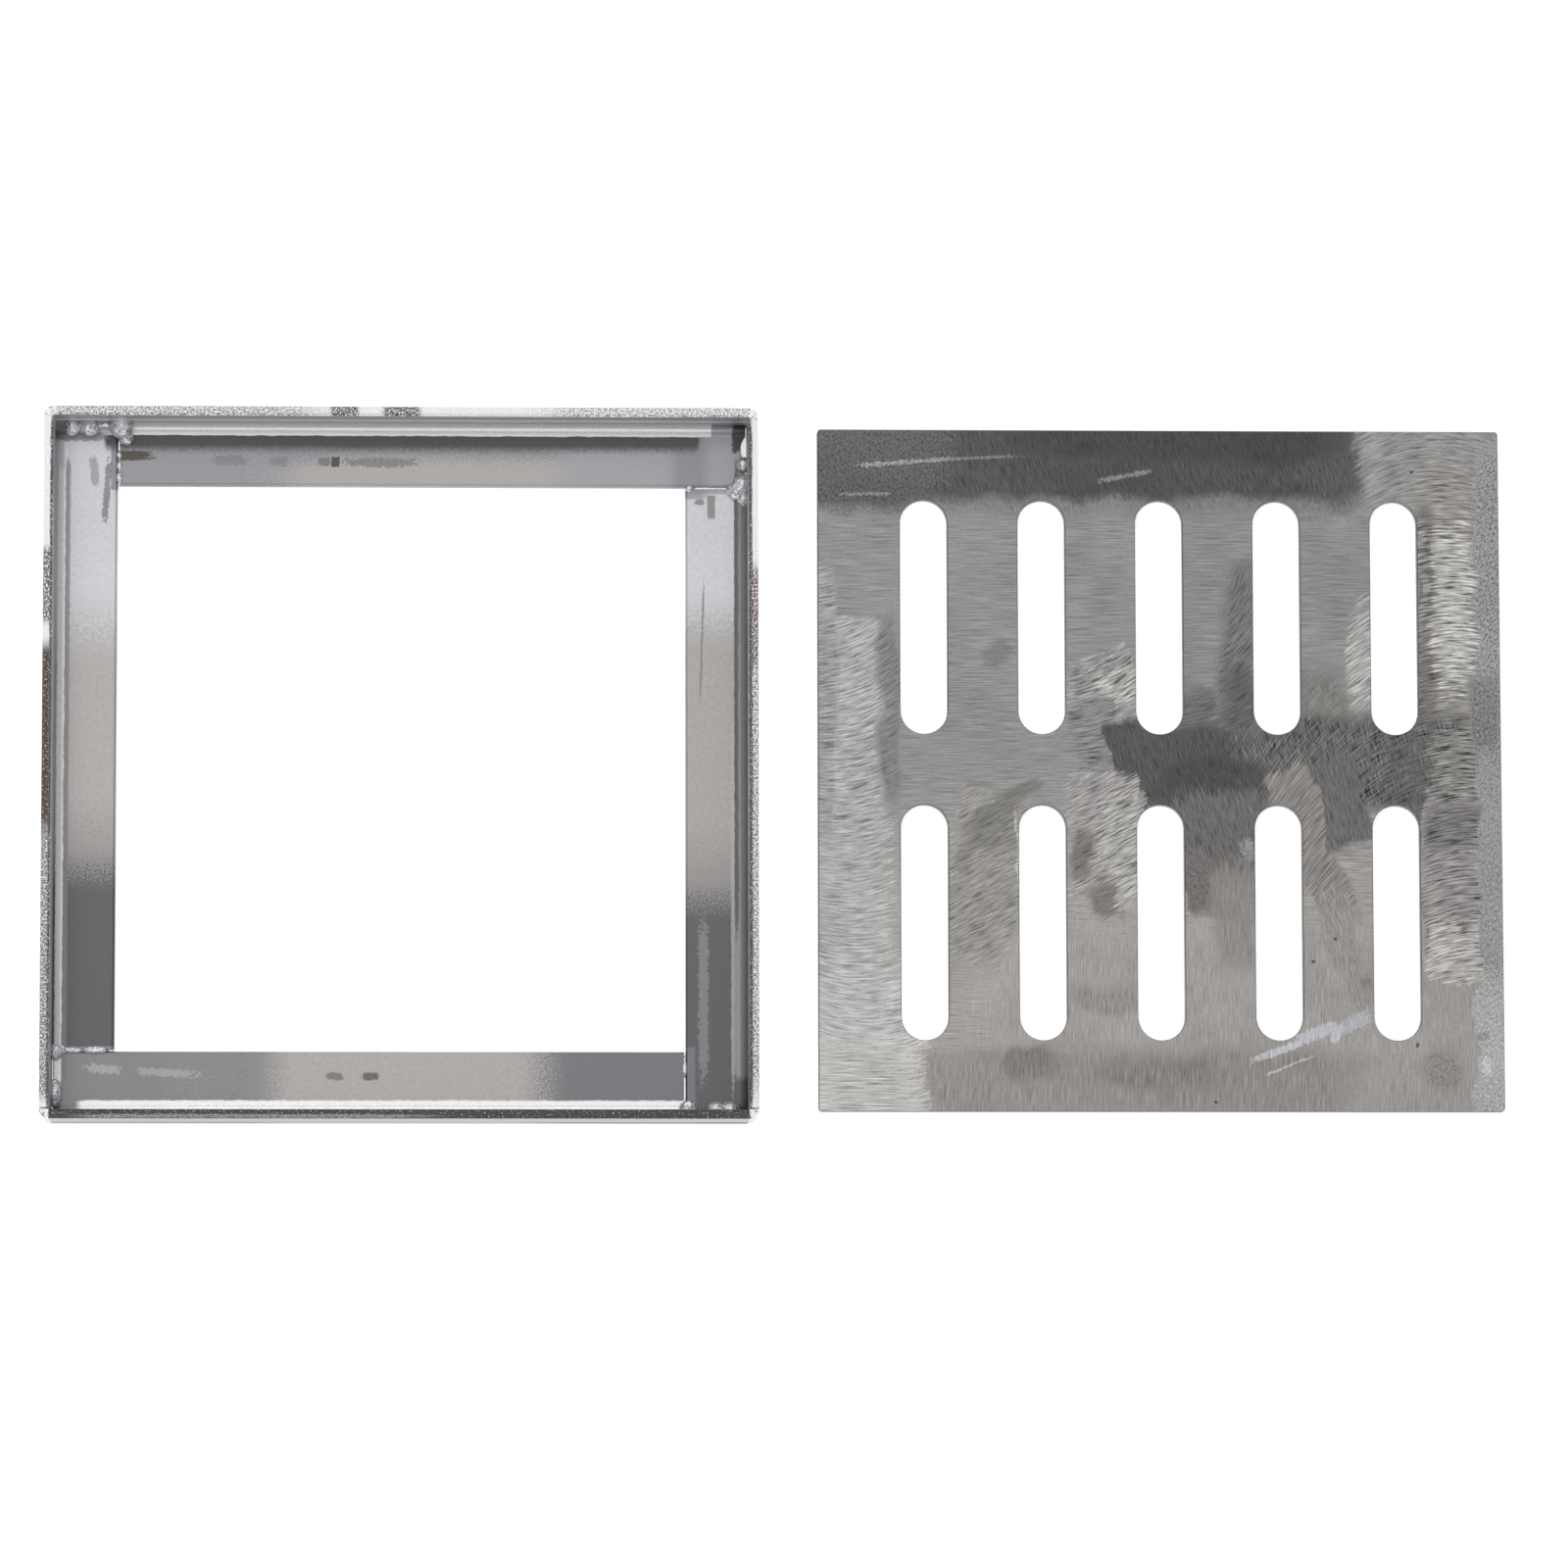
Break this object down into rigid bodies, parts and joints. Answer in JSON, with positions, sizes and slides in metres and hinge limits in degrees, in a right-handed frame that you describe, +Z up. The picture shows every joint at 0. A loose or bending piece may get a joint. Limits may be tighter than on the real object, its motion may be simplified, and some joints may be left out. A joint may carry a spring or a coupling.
{
  "type": "drain grate",
  "caption": "Square drain grate in its two parts: a welded angle-steel frame and, beside it, the loose flat cover plate with two rows of round-ended slots.",
  "frame": {"origin": "on the ground, in the middle of the box round the frame and the cover plate as they lie", "axes": "+X from the frame towards the cover plate, +Y to the back as pictured, +Z up; the frame lies with its seat and its upright legs facing up"},
  "size_m": [0.616, 0.3, 0.03],
  "materials": {
    "bar_steel": "rolled mill surface with a thin silver spray that thins out to dark grey towards the corners",
    "weld_steel": "bright weld metal, lumpy, ground round at the outer corners",
    "cover_steel": "bare steel ground in overlapping passes with a flap disc"
  },
  "bodies": {
    "root": {"bar_front": "bar_steel", "bar_right": "bar_steel", "bar_back": "bar_steel", "bar_left": "bar_steel", "corner_weld_front_left": "weld_steel", "corner_weld_front_right": "weld_steel", "corner_weld_back_right": "weld_steel", "corner_weld_back_left": "weld_steel", "seam_weld_front_left": "weld_steel", "seam_weld_front_right": "weld_steel", "seam_weld_back_right": "weld_steel", "seam_weld_back_left": "weld_steel", "tack_welds_front_left": "weld_steel", "tack_welds_front_right": "weld_steel", "tack_welds_back_right": "weld_steel", "tack_welds_back_left": "weld_steel", "cover_plate": "cover_steel"}
  },
  "joints": []
}
